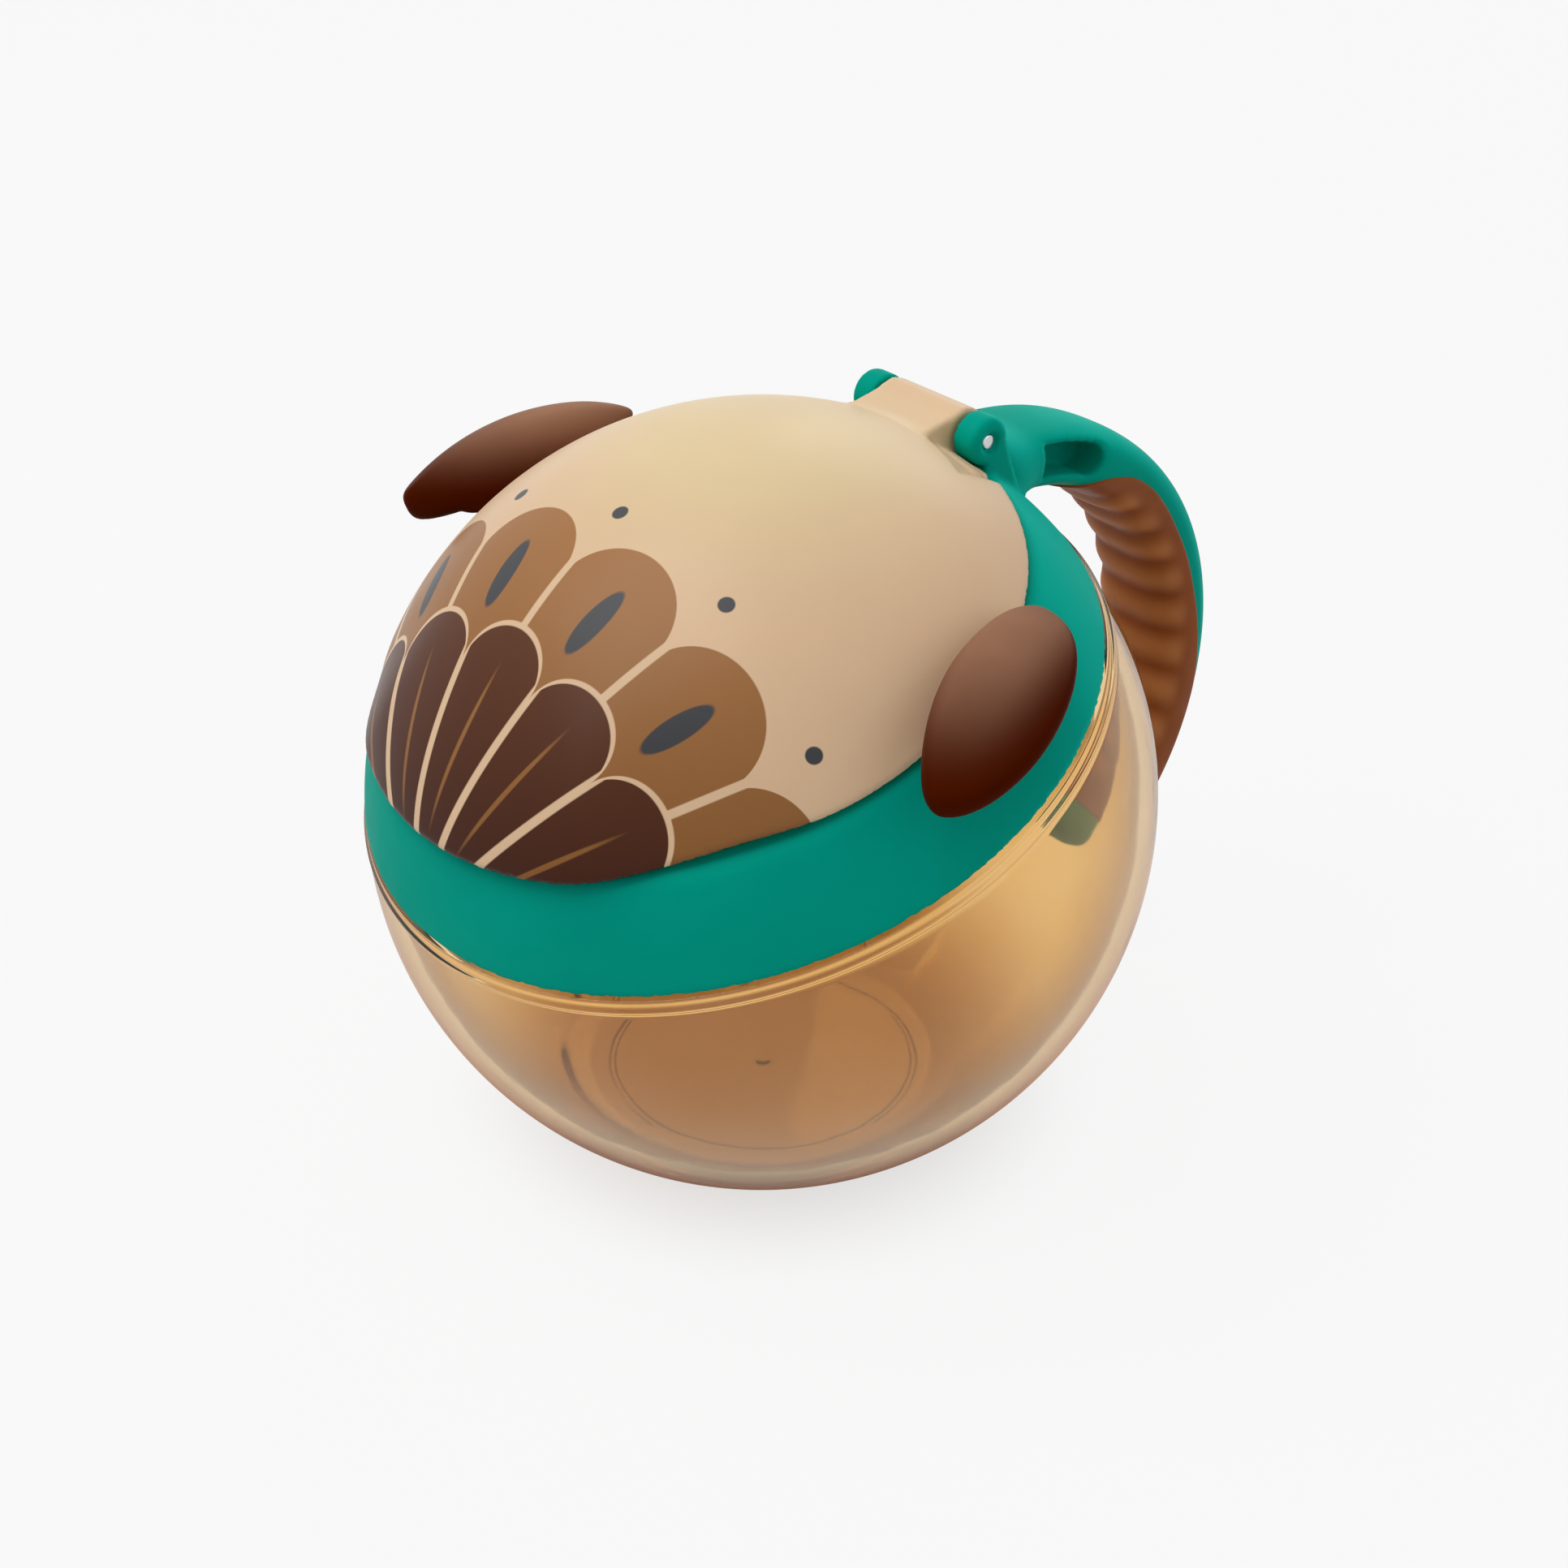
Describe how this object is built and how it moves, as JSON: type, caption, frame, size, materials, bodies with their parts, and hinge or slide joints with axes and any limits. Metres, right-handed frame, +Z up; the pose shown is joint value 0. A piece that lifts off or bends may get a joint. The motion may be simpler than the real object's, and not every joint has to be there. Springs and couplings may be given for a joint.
{
  "type": "toddler snack container",
  "caption": "Ball-shaped snack cup with a see-through bowl, slanted screw collar, hooked grab handle, flip lid on a steel pin, soft side lobes and soft flaps in the mouth.",
  "frame": {"origin": "centre of the flat underside that the container stands on", "axes": "+Z up; -Y is the front, where the lid's thumb lip is; +Y is the back, with the hinge and the handle; +X is the right-hand side seen from the front; the mouth's axis leans 20.3 degrees from +Z towards -Y"},
  "size_m": [0.0992, 0.1173, 0.0861],
  "materials": {
    "bowl_plastic": "glossy, see-through amber",
    "collar_plastic": "satin teal",
    "lid_plastic": "satin sand with a printed pattern",
    "lobe_rubber": "smooth soft dark brown",
    "grip_rubber": "soft ribbed brown",
    "soft_silicone": "soft translucent cream",
    "ring_plastic": "matte cream",
    "pin_steel": "polished"
  },
  "bodies": {
    "bowl": {"bowl": "bowl_plastic"},
    "seal": {"bowl_seal": "soft_silicone"},
    "collar": {"collar": "collar_plastic", "handle_grip": "grip_rubber", "hinge_pin": "pin_steel", "retainer_ring": "ring_plastic", "flap_ring": "soft_silicone"},
    "lid": {"lid": "lid_plastic", "lid_seal": "soft_silicone", "lobe_left": "lobe_rubber", "lobe_right": "lobe_rubber"},
    "flap_1": {"flap_1": "soft_silicone"},
    "flap_2": {"flap_2": "soft_silicone"},
    "flap_3": {"flap_3": "soft_silicone"},
    "flap_4": {"flap_4": "soft_silicone"},
    "flap_5": {"flap_5": "soft_silicone"},
    "flap_6": {"flap_6": "soft_silicone"}
  },
  "joints": [
    {"name": "collar_lift", "type": "slide", "parent": "bowl", "child": "seal", "axis": [0, -0.3469, 0.9379], "range_m": [0, 0.00267]},
    {"name": "collar_turn", "type": "hinge", "parent": "seal", "child": "collar", "pos_m": [0, 0, 0.04], "axis": [0, -0.3469, 0.9379], "range_deg": [0, 60]},
    {"name": "lid_hinge", "type": "hinge", "parent": "collar", "child": "lid", "pos_m": [0, 0.02532, 0.0805], "axis": [-1, 0, 0], "range_deg": [0, 110]},
    {"name": "flap_1_bend", "type": "hinge", "parent": "collar", "child": "flap_1", "pos_m": [0.01931, 0.00241, 0.06563], "axis": [-0.5, 0.8122, 0.3005], "range_deg": [-65, 15], "stiffness_Nm_per_rad": 0.004},
    {"name": "flap_2_bend", "type": "hinge", "parent": "collar", "child": "flap_2", "pos_m": [0, 0.01287, 0.0695], "axis": [-1, 0, 0], "range_deg": [-65, 15], "stiffness_Nm_per_rad": 0.004},
    {"name": "flap_3_bend", "type": "hinge", "parent": "collar", "child": "flap_3", "pos_m": [-0.01931, 0.00241, 0.06563], "axis": [-0.5, -0.8122, -0.3005], "range_deg": [-65, 15], "stiffness_Nm_per_rad": 0.004},
    {"name": "flap_4_bend", "type": "hinge", "parent": "collar", "child": "flap_4", "pos_m": [-0.01931, -0.01851, 0.05789], "axis": [0.5, -0.8122, -0.3005], "range_deg": [-65, 15], "stiffness_Nm_per_rad": 0.004},
    {"name": "flap_5_bend", "type": "hinge", "parent": "collar", "child": "flap_5", "pos_m": [0, -0.02896, 0.05402], "axis": [1, 0, 0], "range_deg": [-65, 15], "stiffness_Nm_per_rad": 0.004},
    {"name": "flap_6_bend", "type": "hinge", "parent": "collar", "child": "flap_6", "pos_m": [0.01931, -0.01851, 0.05789], "axis": [0.5, 0.8122, 0.3005], "range_deg": [-65, 15], "stiffness_Nm_per_rad": 0.004}
  ],
  "couplings": [
    {"joint": "collar_lift", "follows": "collar_turn", "m_per_rad": 0.0025465}
  ]
}
